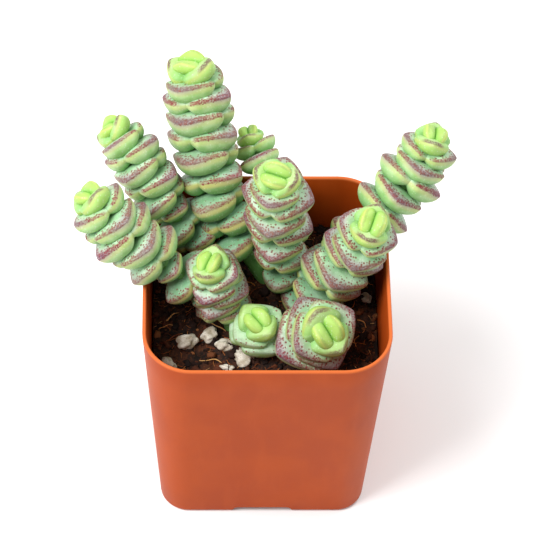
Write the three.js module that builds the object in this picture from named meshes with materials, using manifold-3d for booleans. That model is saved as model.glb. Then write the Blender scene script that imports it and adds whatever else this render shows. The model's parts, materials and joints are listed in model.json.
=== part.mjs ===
// A potted crassula of the kind sold as "baby necklace": ten leafy stems in a small square nursery pot.
//
// Every stem carries pairs of thick, boat-shaped leaves. The two leaves of a pair face each other and are
// joined round the stem, and each pair is turned a quarter turn from the one below it, so that a stem looks
// like beads on a string. Towards the growing tip the leaves are shorter, stand more upright and close into
// a bud.
//
// Units are millimetres and +Z is up. The origin is the middle of the pot's underside, the front of the pot
// faces -Y, and +X is to the right.
import * as THREE from "three";
import { mergeVertices } from "three/addons/utils/BufferGeometryUtils.js";
import Module from "manifold-3d";

const wasm = await Module();
wasm.setup();

const DEG = Math.PI / 180;

// ---- Dimensions ----

// Pot: a tapered square with rounded corners, a raised floor, a boss under its middle and four notches.
const POT_HEIGHT = 64;
const POT_TOP_WIDTH = 57;
const POT_BASE_WIDTH = 49;
const POT_TOP_CORNER = 11.2;
const POT_BASE_CORNER = 6.7;
const POT_WALL = 0.9;
const FOOT_ROUND = 1.0;
const FLOOR_UNDERSIDE = 1.9;
const FLOOR_TOP = 2.9;
const BOSS_RADIUS = 5;
const NOTCH_WIDTH = 13;
const NOTCH_SLANT = 1;
const DRAIN_RADIUS = 2.6;
const DRAIN_OFFSET = 14;

// Soil: it fills the pot to well under the rim, and its surface is uneven.
const SOIL_LEVEL = 47.3;
const SOIL_RELIEF = 0.7;
const CLEARANCE = 0.3;

// Stems: how deep they are rooted and how thick they are at the soil and at the tip.
const ROOT_BOTTOM = 42;
const STEM_RADIUS = 1.7;
const STEM_TIP_RADIUS = 1.1;

// Leaves, for a leaf that reaches one unit out from the middle of its stem.
const HALF_WIDTH = 0.81;
const DECK = 0.1;
const BELLY = 0.5;
const WAIST = 0.66;
const WIDEST_AT = 0.3;

// ---- Solids ----

function solidFrom(points, triangles) {
  const g = new THREE.BufferGeometry();
  g.setAttribute("position", new THREE.Float32BufferAttribute(points.flat(), 3));
  g.setIndex(triangles.flat());
  return solidOf(g);
}

function solidOf(geometry) {
  const g = geometry.index ? geometry.toNonIndexed() : geometry.clone();
  g.deleteAttribute("normal");
  g.deleteAttribute("uv");
  const merged = mergeVertices(g, 1e-4);
  return new wasm.Manifold(
    new wasm.Mesh({
      numProp: 3,
      vertProperties: new Float32Array(merged.attributes.position.array),
      triVerts: new Uint32Array(merged.index.array),
    }),
  );
}

function geometryOf(solid) {
  const mesh = solid.getMesh();
  const g = new THREE.BufferGeometry();
  g.setAttribute("position", new THREE.BufferAttribute(new Float32Array(mesh.vertProperties), 3));
  g.setIndex(new THREE.BufferAttribute(new Uint32Array(mesh.triVerts), 1));
  const flat = g.toNonIndexed();
  flat.computeVertexNormals();
  return flat;
}

// A closed skin over a stack of rings, with a point at each end. The rings run anticlockwise as seen from
// the end point.
function skin(startPoint, rings, endPoint) {
  const sides = rings[0].length;
  const points = [startPoint, ...rings.flat(), endPoint];
  const last = points.length - 1;
  const top = 1 + (rings.length - 1) * sides;
  const triangles = [];
  for (let j = 0; j < sides; j++) {
    const k = (j + 1) % sides;
    triangles.push([0, 1 + k, 1 + j]);
    for (let i = 0; i + 1 < rings.length; i++) {
      const a = 1 + i * sides;
      const b = a + sides;
      triangles.push([a + j, a + k, b + j], [a + k, b + k, b + j]);
    }
    triangles.push([top + j, top + k, last]);
  }
  return solidFrom(points, triangles);
}

function cylinder(x, y, radius, bottom, top, sides) {
  const g = new THREE.CylinderGeometry(radius, radius, top - bottom, sides);
  g.rotateX(Math.PI / 2);
  g.translate(x, y, (top + bottom) / 2);
  return solidOf(g);
}

// ---- Pot ----

const mix = (a, b, t) => a + (b - a) * t;

// The pot's outline at a height, moved inwards by an inset.
function potRing(z, inset, height = z) {
  const t = height / POT_HEIGHT;
  const half = mix(POT_BASE_WIDTH, POT_TOP_WIDTH, t) / 2 - inset;
  const corner = Math.max(mix(POT_BASE_CORNER, POT_TOP_CORNER, t) - inset, 1);
  const ring = [];
  for (let quarter = 0; quarter < 4; quarter++) {
    const cx = (half - corner) * (quarter === 0 || quarter === 3 ? 1 : -1);
    const cy = (half - corner) * (quarter < 2 ? 1 : -1);
    for (let i = 0; i <= 5; i++) {
      const a = (quarter * 90 + i * 18) * DEG;
      ring.push([cx + corner * Math.cos(a), cy + corner * Math.sin(a), z]);
    }
  }
  return ring;
}

function buildPot() {
  const outside = skin(
    [0, 0, 0],
    [
      potRing(0, FOOT_ROUND, 0),
      potRing(FOOT_ROUND * 0.29, FOOT_ROUND * 0.29),
      potRing(FOOT_ROUND, 0),
      potRing(POT_HEIGHT, 0),
    ],
    [0, 0, POT_HEIGHT],
  );
  const inside = skin(
    [0, 0, FLOOR_TOP],
    [potRing(FLOOR_TOP, POT_WALL), potRing(POT_HEIGHT + 2, POT_WALL)],
    [0, 0, POT_HEIGHT + 2],
  );
  const under = skin(
    [0, 0, -2],
    [potRing(-2, FOOT_ROUND + POT_WALL, 0), potRing(FLOOR_UNDERSIDE, FOOT_ROUND + POT_WALL)],
    [0, 0, FLOOR_UNDERSIDE],
  );
  let pot = outside.subtract(inside).subtract(under);
  pot = pot.add(cylinder(0, 0, BOSS_RADIUS, 0, (FLOOR_UNDERSIDE + FLOOR_TOP) / 2, 32));
  for (let side = 0; side < 4; side++) {
    const profile = new THREE.Shape();
    profile.moveTo(-NOTCH_WIDTH / 2 - NOTCH_SLANT, -1);
    profile.lineTo(NOTCH_WIDTH / 2 + NOTCH_SLANT, -1);
    profile.lineTo(NOTCH_WIDTH / 2 + NOTCH_SLANT / 2, 0);
    profile.lineTo(NOTCH_WIDTH / 2 - NOTCH_SLANT / 2, FLOOR_UNDERSIDE);
    profile.lineTo(-NOTCH_WIDTH / 2 + NOTCH_SLANT / 2, FLOOR_UNDERSIDE);
    profile.lineTo(-NOTCH_WIDTH / 2 - NOTCH_SLANT / 2, 0);
    const notch = new THREE.ExtrudeGeometry(profile, { depth: 6, bevelEnabled: false });
    notch.rotateX(Math.PI / 2);
    notch.translate(0, -POT_BASE_WIDTH / 2 + 4, 0);
    notch.rotateZ(side * 90 * DEG);
    pot = pot.subtract(solidOf(notch));
    const a = (side * 90 + 45) * DEG;
    pot = pot.subtract(
      cylinder(DRAIN_OFFSET * Math.cos(a), DRAIN_OFFSET * Math.sin(a), DRAIN_RADIUS, -1, FLOOR_TOP + 1, 20),
    );
  }
  return pot;
}

// ---- Leafy stems ----

// Each stem's curve from the soil to its tip, the reach of its largest leaves, the distance between grown
// pairs, the number of pairs, how much shorter each old pair is than the one above it, and the direction in
// which the bud's leaves lie.
const STEMS = [
  { name: "stem_tall_back", path: [[-4, 13, 47], [-6.4, 15, 63], [-15, 25.5, 77.5], [-17.4, 36.5, 93]], reach: 9, pitch: 4.6, pairs: 11, fade: 0.02, phase: 237 },
  { name: "stem_small_back", path: [[2.5, 20, 47], [2.5, 22, 60], [0.5, 26, 70], [-2.4, 31.2, 75]], reach: 6.2, pitch: 3.9, pairs: 4, fade: 0.02, phase: 250 },
  { name: "stem_left_upper", path: [[-14.2, 13, 47], [-15.4, 12.4, 63], [-28.3, 18.2, 73.4], [-34.8, 26.8, 82]], reach: 7.4, pitch: 4.05, pairs: 9, fade: 0.03, phase: 230 },
  { name: "stem_left_lower", path: [[-19, 3.5, 47], [-18.6, 0.3, 69], [-32.2, -0.5, 76.3], [-39.8, 5, 83]], reach: 8.8, pitch: 4.6, pairs: 7, fade: 0.04, phase: 240 },
  { name: "stem_front_left", path: [[-7, -4, 47], [-8, -3.5, 55], [-11, -1.7, 62], [-14, 1, 68.5]], reach: 8, pitch: 4.1, pairs: 5, fade: 0.04, phase: 160 },
  { name: "stem_small_front", path: [[-0.5, -9.5, 47], [-0.5, -9.5, 50], [-1.7, -9, 53], [-1.2, -7.5, 56]], reach: 7, pitch: 3.3, pairs: 4, fade: 0.02, phase: 45 },
  { name: "stem_front_right", path: [[8.5, -6.5, 47], [9, -8, 52], [11.5, -10.3, 57], [13.3, -14.4, 60.5]], reach: 9.4, pitch: 4.0, pairs: 4, fade: 0.02, phase: 45 },
  { name: "stem_middle", path: [[4.5, 7, 47], [4.5, 5.3, 60], [3, 8.5, 75], [2, 8.2, 89.3]], reach: 9.3, pitch: 4.3, pairs: 10, fade: 0.07, phase: 163 },
  { name: "stem_right_front", path: [[16, 2, 47], [15.3, 1.8, 57], [18.4, 2.2, 68], [23.8, 1.8, 78]], reach: 9.2, pitch: 4.2, pairs: 7, fade: 0.03, phase: 150 },
  { name: "stem_right_back", path: [[17, 16, 47], [16, 15.5, 67], [29.8, 13.8, 77.5], [38.4, 20.8, 86.5]], reach: 8.3, pitch: 4.8, pairs: 8, fade: 0.02, phase: 140 },
];

// How a leaf changes with its rank, counted from the growing tip.
function leafSize(stem, rank) {
  return (1 - 0.75 * Math.exp(-((rank / 1.8) ** 1.8))) * (1 - stem.fade * Math.max(0, rank - 4));
}

function leafTilt(rank) {
  return (14 + 58 * Math.exp(-rank / 1.9)) * DEG;
}

// Distance down the stem from its tip to the pair of a given rank, in pitches.
function rankDistance(rank) {
  return rank - 1.5 * (1 - Math.exp(-rank / 1.8));
}

// The leaf's half width and depth at a distance from the stem, both from 0 to 1.
function outline(t) {
  if (t < WIDEST_AT) return WAIST + (1 - WAIST) * Math.sin((Math.PI / 2) * (t / WIDEST_AT));
  return Math.max(0, 1 - ((t - WIDEST_AT) / (1 - WIDEST_AT)) ** 1.5) ** 0.85;
}

function depth(t) {
  if (t < WIDEST_AT) return 0.86 + 0.14 * (t / WIDEST_AT);
  return Math.max(0, 1 - ((t - WIDEST_AT) / (1 - WIDEST_AT)) ** 2) ** 0.6;
}

// A point of a pair's skin. The distance runs from -1, the tip of one leaf, through the stem at 0 to 1, the
// tip of the other, and turn goes round the section.
function pairPoint(distance, turn, tilt) {
  const t = Math.abs(distance);
  const c = Math.cos(turn);
  const q = Math.sin(turn);
  const y = HALF_WIDTH * outline(t) * Math.sign(c) * Math.abs(c) ** 0.9;
  const thick = q >= 0 ? DECK * depth(t) * q : -BELLY * depth(t) * Math.abs(q) ** 0.85;
  const z = thick + 0.06 * t * t;
  if (t === 0) return new THREE.Vector3(0, y, z * 0.9);
  const x = t * Math.cos(tilt) - z * Math.sin(tilt);
  return new THREE.Vector3(Math.sign(distance) * x, y, t * Math.sin(tilt) + z * Math.cos(tilt));
}

const STATIONS = [-0.85, -0.4, 0, 0.4, 0.85];
const SIDES = 8;

// A stem's own frame at a place along it: Z along the stem, X as near to the world's X as that allows.
function stemFrame(curve, u) {
  const z = curve.getTangentAt(u).normalize();
  const x = new THREE.Vector3(1, 0, 0).addScaledVector(z, -z.x).normalize();
  const y = new THREE.Vector3().crossVectors(z, x);
  return new THREE.Matrix4().makeBasis(x, y, z).setPosition(curve.getPointAt(u));
}

function leafPair(stem, curve, rank) {
  const u = 1 - (stem.pitch * rankDistance(rank)) / curve.getLength();
  const size = stem.reach * leafSize(stem, rank);
  const tilt = leafTilt(rank);
  const azimuth = (stem.phase + 90 * rank + 7 * Math.sin(2.3 * rank + stem.phase)) * DEG;
  const place = stemFrame(curve, u);
  place.multiply(new THREE.Matrix4().makeRotationZ(azimuth));
  place.multiply(new THREE.Matrix4().makeScale(size, size, size));
  const put = (p) => p.applyMatrix4(place).toArray();
  if (rank === 0) {
    const bud = [[0.5, -0.2], [0.62, 0.3], [0.52, 0.75], [0.26, 1.05]].map(([radius, height]) =>
      Array.from({ length: SIDES }, (_, j) => {
        const a = (2 * Math.PI * j) / SIDES;
        return put(new THREE.Vector3(0.8 * radius * Math.cos(a), radius * Math.sin(a), height));
      }),
    );
    return skin(put(new THREE.Vector3(0, 0, -0.3)), bud, put(new THREE.Vector3(0, 0, 1.15)));
  }
  const rings = STATIONS.map((d) =>
    Array.from({ length: SIDES }, (_, j) => put(pairPoint(d, (2 * Math.PI * (j + 0.5)) / SIDES, tilt))),
  );
  return skin(put(pairPoint(-1, 0, tilt)), rings, put(pairPoint(1, 0, tilt)));
}

function curveOf(stem) {
  return new THREE.CubicBezierCurve3(...stem.path.map((p) => new THREE.Vector3(...p)));
}

// The stem itself, from its root in the soil to its tip, grown by a margin when its hole is cut.
function stemTube(stem, curve, margin = 0, rootOnly = false) {
  const steps = rootOnly ? 1 : 8;
  const sides = 8;
  const [rx, ry, rz] = stem.path[0];
  const circle = (frame, r) =>
    Array.from({ length: sides }, (_, j) =>
      new THREE.Vector3(r * Math.cos((j * Math.PI) / 4), r * Math.sin((j * Math.PI) / 4), 0)
        .applyMatrix4(frame)
        .toArray(),
    );
  const bottom = ROOT_BOTTOM - margin;
  const rings = [circle(new THREE.Matrix4().setPosition(rx, ry, bottom), STEM_RADIUS + margin)];
  if (rootOnly) {
    rings.push(circle(new THREE.Matrix4().setPosition(rx, ry, rz + 6), STEM_RADIUS + margin));
    return skin([rx, ry, bottom], rings, [rx, ry, rz + 6]);
  }
  rings.push(circle(new THREE.Matrix4().setPosition(rx, ry, rz + 0.4), STEM_RADIUS));
  for (let i = 1; i <= steps; i++) {
    const u = i / steps;
    rings.push(circle(stemFrame(curve, Math.min(u, 0.999)), mix(STEM_RADIUS, STEM_TIP_RADIUS, u)));
  }
  return skin([rx, ry, bottom], rings, curve.getPointAt(1).toArray());
}

function leafyStem(stem) {
  const curve = curveOf(stem);
  let body = stemTube(stem, curve);
  for (let rank = 0; rank < stem.pairs; rank++) body = body.add(leafPair(stem, curve, rank));
  return body;
}

// ---- Stones ----

// Where each stone lies, its half sizes and how it is turned.
const STONES = [
  { name: "stone_large", at: [-18.2, -8.2], size: [2.3, 1.7, 1.5], turn: 20 },
  { name: "stone_front_left", at: [-22.6, -14.6], size: [1.3, 2.0, 1.0], turn: 35 },
  { name: "stone_under_left", at: [-13, -6.2], size: [2.0, 1.6, 1.1], turn: 60 },
  { name: "stone_under_middle", at: [-9.6, -9.3], size: [1.9, 1.6, 1.2], turn: 10 },
  { name: "stone_front_flat", at: [-9, -15.8], size: [1.5, 0.8, 0.7], turn: -10 },
  { name: "stone_front_middle", at: [-5.2, -12.6], size: [2.1, 2.3, 1.3], turn: 30 },
  { name: "stone_front_small", at: [1.4, -17.2], size: [1.7, 1.1, 0.9], turn: 0 },
  { name: "stone_right", at: [24, 4.6], size: [1.1, 1.3, 1.0], turn: 15 },
];

// A broken stone: a ball with dents and flats, stretched and turned.
function stoneSolid(stone, margin) {
  const ball = new THREE.IcosahedronGeometry(1, 1);
  const [sx, sy, sz] = stone.size;
  const [x0, y0] = stone.at;
  const z0 = soilHeight(x0, y0) + 0.25 * sz;
  const a = stone.turn * DEG;
  const p = ball.attributes.position;
  for (let i = 0; i < p.count; i++) {
    const [x, y, z] = [p.getX(i), p.getY(i), p.getZ(i)];
    const r = 1 + 0.13 * Math.sin(3.1 * x + 5.3 * y + x0) + 0.11 * Math.sin(4.7 * z - 3.9 * x + y0);
    const [ex, ey, ez] = [x * (r * sx + margin), y * (r * sy + margin), z * (r * sz + margin)];
    p.setXYZ(i, x0 + ex * Math.cos(a) - ey * Math.sin(a), y0 + ex * Math.sin(a) + ey * Math.cos(a), z0 + ez);
  }
  return solidOf(ball);
}

// ---- Soil ----

function soilHeight(x, y) {
  const waves =
    Math.sin(0.31 * x + 0.17 * y + 0.8) + Math.sin(0.24 * y - 0.39 * x + 2.1) + 0.7 * Math.sin(0.61 * x + 0.53 * y);
  return SOIL_LEVEL + SOIL_RELIEF * 0.4 * waves;
}

function buildSoil() {
  const inset = POT_WALL + CLEARANCE;
  const rings = [potRing(FLOOR_TOP + CLEARANCE, inset)];
  for (const part of [1, 0.82, 0.6, 0.38, 0.18]) {
    rings.push(
      potRing(SOIL_LEVEL, inset, SOIL_LEVEL - 1).map(([x, y]) => [x * part, y * part, soilHeight(x * part, y * part)]),
    );
  }
  let soil = skin([0, 0, FLOOR_TOP + CLEARANCE], rings, [0, 0, soilHeight(0, 0)]);
  for (const stem of STEMS) soil = soil.subtract(stemTube(stem, curveOf(stem), CLEARANCE, true));
  for (const stone of STONES) soil = soil.subtract(stoneSolid(stone, CLEARANCE));
  return soil;
}

// ---- Assembly ----

const terracotta = new THREE.MeshStandardMaterial({ color: 0xb5572f, roughness: 0.55 });
const earth = new THREE.MeshStandardMaterial({ color: 0x2d1a10, roughness: 0.95 });
const leafGreen = new THREE.MeshStandardMaterial({ color: 0x9cc98a, roughness: 0.5 });
const pumice = new THREE.MeshStandardMaterial({ color: 0xcdc4b4, roughness: 0.9 });

const group = new THREE.Group();
function addNode(name, solid, material) {
  const mesh = new THREE.Mesh(geometryOf(solid), material);
  mesh.name = name;
  group.add(mesh);
}

addNode("pot", buildPot(), terracotta);
addNode("soil", buildSoil(), earth);
for (const stone of STONES) addNode(stone.name, stoneSolid(stone, 0), pumice);
for (const stem of STEMS) addNode(stem.name, leafyStem(stem), leafGreen);

export default group;
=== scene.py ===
# %% [markdown]
# # A potted baby necklace crassula
#
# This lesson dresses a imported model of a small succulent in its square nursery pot. The plant has ten leafy
# stems. Each stem carries pairs of thick, boat-shaped leaves, and each pair is turned a quarter turn from the
# one below, so that the stem looks like a string of beads. The pot, the soil, the stones and every stem are
# made again here with finer shapes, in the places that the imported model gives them.
#
# The first cell loads that model. Everything is in metres, with Z up and the pot's front facing -Y.

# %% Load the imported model
import json
import math

import bmesh
import bpy
import numpy as np
from mathutils import Matrix, Vector, noise

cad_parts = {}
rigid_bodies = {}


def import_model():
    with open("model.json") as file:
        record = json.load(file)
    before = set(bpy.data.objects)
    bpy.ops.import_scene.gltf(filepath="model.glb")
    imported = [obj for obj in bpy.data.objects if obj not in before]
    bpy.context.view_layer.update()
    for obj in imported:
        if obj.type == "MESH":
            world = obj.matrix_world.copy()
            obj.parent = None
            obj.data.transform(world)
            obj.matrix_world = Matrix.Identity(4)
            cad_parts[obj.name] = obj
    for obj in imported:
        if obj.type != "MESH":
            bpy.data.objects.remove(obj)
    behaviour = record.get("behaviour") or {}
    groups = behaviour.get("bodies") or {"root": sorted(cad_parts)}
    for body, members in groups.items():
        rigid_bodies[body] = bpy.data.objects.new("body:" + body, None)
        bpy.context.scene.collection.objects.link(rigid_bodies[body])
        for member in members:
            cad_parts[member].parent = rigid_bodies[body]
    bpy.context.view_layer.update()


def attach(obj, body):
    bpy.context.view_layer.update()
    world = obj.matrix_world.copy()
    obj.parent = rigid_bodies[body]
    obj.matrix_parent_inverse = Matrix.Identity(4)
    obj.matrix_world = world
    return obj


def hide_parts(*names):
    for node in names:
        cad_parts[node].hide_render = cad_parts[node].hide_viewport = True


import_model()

MM = 0.001

# %% [markdown]
# ## Shader and node maths
#
# Materials and Geometry Nodes trees are both webs of small nodes, and sums in them soon become hard to read.
# A thin wrapper round a socket lets Python's own operators add the Math nodes, so a mask can be written as
# `1 - edge * 2`. Every other node comes from one method, `Web.node`, which takes the node's type, its
# settings and the values or links of its sockets.

# %% A socket that can be used in sums


class Wire:
    """An output socket that understands +, -, *, / and **."""

    def __init__(self, web, socket):
        self.web = web
        self.socket = socket

    def sum_node(self, operation, *values):
        return self.web.node("ShaderNodeMath", {"operation": operation}, dict(enumerate(values)))

    def __add__(self, other):
        return self.sum_node("ADD", self, other)

    def __radd__(self, other):
        return self.sum_node("ADD", other, self)

    def __sub__(self, other):
        return self.sum_node("SUBTRACT", self, other)

    def __rsub__(self, other):
        return self.sum_node("SUBTRACT", other, self)

    def __mul__(self, other):
        return self.sum_node("MULTIPLY", self, other)

    def __rmul__(self, other):
        return self.sum_node("MULTIPLY", other, self)

    def __truediv__(self, other):
        return self.sum_node("DIVIDE", self, other)

    def __pow__(self, other):
        return self.sum_node("POWER", self, other)

    def __neg__(self):
        return self.sum_node("MULTIPLY", self, -1.0)

    def exp(self):
        return self.sum_node("EXPONENT", self)

    def floor(self):
        return self.sum_node("FLOOR", self)

    def absolute(self):
        return self.sum_node("ABSOLUTE", self)

    def larger(self, other):
        return self.sum_node("MAXIMUM", self, other)

    def smaller(self, other):
        return self.sum_node("MINIMUM", self, other)

    def rise(self, low, high):
        """0 below low, 1 above high, and a smooth step between them."""
        settings = {"interpolation_type": "SMOOTHSTEP"}
        return self.web.node("ShaderNodeMapRange", settings, {0: self, 1: low, 2: high, 3: 0.0, 4: 1.0})


class Web:
    """A node tree with one way of adding a node."""

    def __init__(self, tree):
        self.tree = tree
        tree.nodes.clear()

    def node(self, kind, settings=None, sockets=None, out=0):
        made = self.tree.nodes.new(kind)
        for name, value in (settings or {}).items():
            if name == "stops":
                self.set_stops(made.color_ramp, value)
            else:
                setattr(made, name, value)
        for key, value in (sockets or {}).items():
            target = made.inputs[key]
            if isinstance(value, Wire):
                self.tree.links.new(value.socket, target)
            else:
                target.default_value = value
        return Wire(self, made.outputs[out]) if len(made.outputs) else made

    def output(self, wire, out):
        """Another output of the node that a wire comes from."""
        return Wire(self, wire.socket.node.outputs[out])

    def set_stops(self, ramp, stops):
        while len(ramp.elements) < len(stops):
            ramp.elements.new(0.5)
        for element, (place, colour) in zip(ramp.elements, stops):
            element.position = place
            element.color = colour

    def mix(self, factor, a, b, kind="MIX"):
        """Colour a turned into colour b by a factor."""
        settings = {"data_type": "RGBA", "blend_type": kind}
        return self.node("ShaderNodeMix", settings, {0: factor, 6: a, 7: b}, 2)

    def attribute(self, name):
        return self.node("ShaderNodeAttribute", {"attribute_name": name}, out=2)


def rgb(red, green, blue):
    """A colour picked from a screen, 0 to 255, as the linear colour that Blender works in."""
    linear = [(c / 255 / 12.92) if c < 11 else ((c / 255 + 0.055) / 1.055) ** 2.4 for c in (red, green, blue)]
    return (*linear, 1.0)


print("terracotta in linear light:", [round(c, 3) for c in rgb(181, 87, 48)])

# %% [markdown]
# ## The camera
#
# The photograph looks down on the pot from about 53 degrees, from far away, so that the pot's sides hardly
# converge. A camera this far off needs a long lens. The place, the roll and the lens were found by fitting a
# camera to the pot's rim and bottom edge, so the pot fills the same part of the frame as in the photograph.

# %% Place the camera
POT_HEIGHT = 64 * MM
CAMERA_TURN = math.radians(2.64)
CAMERA_ELEVATION = math.radians(52.88)
CAMERA_ROLL = math.radians(-2.2)
CAMERA_DISTANCE = 674 * MM
FRAME_PIXELS = 533
FOCAL_PIXELS = 2925.7
SHIFT_PIXELS = 5.04
SENSOR = 36.0
NEAREST_SEEN = 50 * MM
FARTHEST_SEEN = 10000 * MM


def place_camera():
    level = math.cos(CAMERA_ELEVATION)
    sideways, ahead = math.sin(CAMERA_TURN) * level, math.cos(CAMERA_TURN) * level
    forward = Vector((sideways, ahead, -math.sin(CAMERA_ELEVATION)))
    right = Vector((math.cos(CAMERA_TURN), -math.sin(CAMERA_TURN), 0))
    up = right.cross(forward)
    tilted_right = math.cos(CAMERA_ROLL) * right - math.sin(CAMERA_ROLL) * up
    tilted_up = math.sin(CAMERA_ROLL) * right + math.cos(CAMERA_ROLL) * up
    data = bpy.data.cameras.new("camera")
    data.sensor_width = SENSOR
    data.lens = FOCAL_PIXELS * SENSOR / FRAME_PIXELS
    data.shift_y = SHIFT_PIXELS / FRAME_PIXELS
    data.clip_start = NEAREST_SEEN
    data.clip_end = FARTHEST_SEEN
    camera = bpy.data.objects.new("camera", data)
    bpy.context.scene.collection.objects.link(camera)
    turn = Matrix((tilted_right, tilted_up, -forward)).transposed().to_4x4()
    spot = Vector((0, 0, POT_HEIGHT)) - forward * CAMERA_DISTANCE
    camera.matrix_world = Matrix.Translation(spot) @ turn
    bpy.context.scene.camera = camera
    return camera


camera = place_camera()
print("camera at", [round(c, 3) for c in camera.location], "lens", round(camera.data.lens, 1), "mm")

# %% [markdown]
# ## Small helpers for meshes
#
# A finished piece is a plain mesh whose object sits at the origin. `mesh_piece` makes one from points and
# faces. `skin` joins a stack of rings into a closed shell with a point at each end, which makes pots, leaves
# and soil alike. `soften` shades a piece smooth but keeps edges sharper than an angle crisp.

# %% Mesh helpers


def mesh_piece(name, points, faces, keep=True):
    mesh = bpy.data.meshes.new(name)
    mesh.from_pydata([tuple(p) for p in points], [], [tuple(f) for f in faces])
    mesh.update()
    piece = bpy.data.objects.new(name, mesh)
    if keep:
        bpy.context.scene.collection.objects.link(piece)
    return piece


def skin(first, rings, last):
    """Points and faces of a closed shell over equally long rings, anticlockwise seen from the last point."""
    sides = len(rings[0])
    points = [first] + [p for ring in rings for p in ring] + [last]
    faces = []
    top = 1 + (len(rings) - 1) * sides
    for j in range(sides):
        k = (j + 1) % sides
        faces.append((0, 1 + k, 1 + j))
        for i in range(len(rings) - 1):
            a = 1 + i * sides
            faces.append((a + j, a + k, a + sides + k, a + sides + j))
        faces.append((top + j, top + k, len(points) - 1))
    return points, faces


def soften(piece, angle=35):
    shape = bmesh.new()
    shape.from_mesh(piece.data)
    for face in shape.faces:
        face.smooth = True
    for edge in shape.edges:
        edge.smooth = len(edge.link_faces) == 2 and edge.calc_face_angle(0) < math.radians(angle)
    shape.to_mesh(piece.data)
    shape.free()


def plain_copy(piece, name):
    """What a piece's modifiers make of it, as a plain mesh with none. The original is removed."""
    bpy.context.view_layer.update()
    view = piece.evaluated_get(bpy.context.evaluated_depsgraph_get())
    mesh = bpy.data.meshes.new_from_object(view)
    mesh.name = name
    bpy.data.objects.remove(piece)
    made = bpy.data.objects.new(name, mesh)
    bpy.context.scene.collection.objects.link(made)
    return made


def hand_over(piece, node):
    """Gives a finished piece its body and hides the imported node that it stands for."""
    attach(piece, "root")
    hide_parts(node)


def set_input(modifier, name, value):
    """Sets a Geometry Nodes input by its identifier."""
    for item in modifier.node_group.interface.items_tree:
        if item.item_type == "SOCKET" and item.in_out == "INPUT" and item.name == name:
            modifier[item.identifier] = value
            return
    raise KeyError(name)


def new_tree(name, inputs):
    """An empty Geometry Nodes tree with a geometry input, named inputs and a geometry output."""
    tree = bpy.data.node_groups.new(name, "GeometryNodeTree")
    tree.interface.new_socket("Geometry", in_out="INPUT", socket_type="NodeSocketGeometry")
    for label, kind in inputs.items():
        tree.interface.new_socket(label, in_out="INPUT", socket_type="NodeSocket" + kind)
    tree.interface.new_socket("Geometry", in_out="OUTPUT", socket_type="NodeSocketGeometry")
    web = Web(tree)
    start = web.node("NodeGroupInput")
    given = {"Geometry": start}
    for number, label in enumerate(inputs, 1):
        given[label] = web.output(start, number)
    return tree, web, given


print("helpers ready")

# %% [markdown]
# ## The pot
#
# The pot is a thin-walled, moulded square pot with a taper and rounded corners. Its floor is raised a little,
# with a boss under the middle and a notch in the middle of each bottom edge for water to run out. A tapered
# square with rounded corners can't be turned on a lathe, so the pot is a stack of rounded-square rings that
# runs up the outside, over the rim and down the inside. The notches and drain holes are cut with Booleans.

# %% Pot sizes and outline
POT_TOP_WIDTH = 57 * MM
POT_BASE_WIDTH = 49 * MM
POT_TOP_CORNER = 11.2 * MM
POT_BASE_CORNER = 6.7 * MM
SMALLEST_CORNER = 0.8 * MM
POT_WALL = 0.9 * MM
FOOT_ROUND = 1.0 * MM
FOOT_CHAMFER = 0.2 * MM
FLOOR_UNDERSIDE = 1.9 * MM
FLOOR_TOP = 2.9 * MM
BOSS_RADIUS = 5 * MM
BOSS_CHAMFER = 0.3 * MM
NOTCH_WIDTH = 13 * MM
DRAIN_RADIUS = 2.6 * MM
DRAIN_OFFSET = 14 * MM
FOOT_STEPS = 6
WALL_STEPS = 9
RIM_STEPS = 8


def square_ring(half, corner, z, steps=12):
    """A rounded square of a half width and a corner radius, at a height."""
    ring = []
    for quarter in range(4):
        cx = (half - corner) * (1 if quarter in (0, 3) else -1)
        cy = (half - corner) * (1 if quarter < 2 else -1)
        for i in range(steps + 1):
            a = math.radians(quarter * 90 + i * 90 / steps)
            ring.append((cx + corner * math.cos(a), cy + corner * math.sin(a), z))
    return ring


def pot_ring(z, inset, height=None):
    t = (z if height is None else height) / POT_HEIGHT
    half = (POT_BASE_WIDTH + (POT_TOP_WIDTH - POT_BASE_WIDTH) * t) / 2 - inset
    corner = max(POT_BASE_CORNER + (POT_TOP_CORNER - POT_BASE_CORNER) * t - inset, SMALLEST_CORNER)
    return square_ring(half, corner, z)


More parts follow.
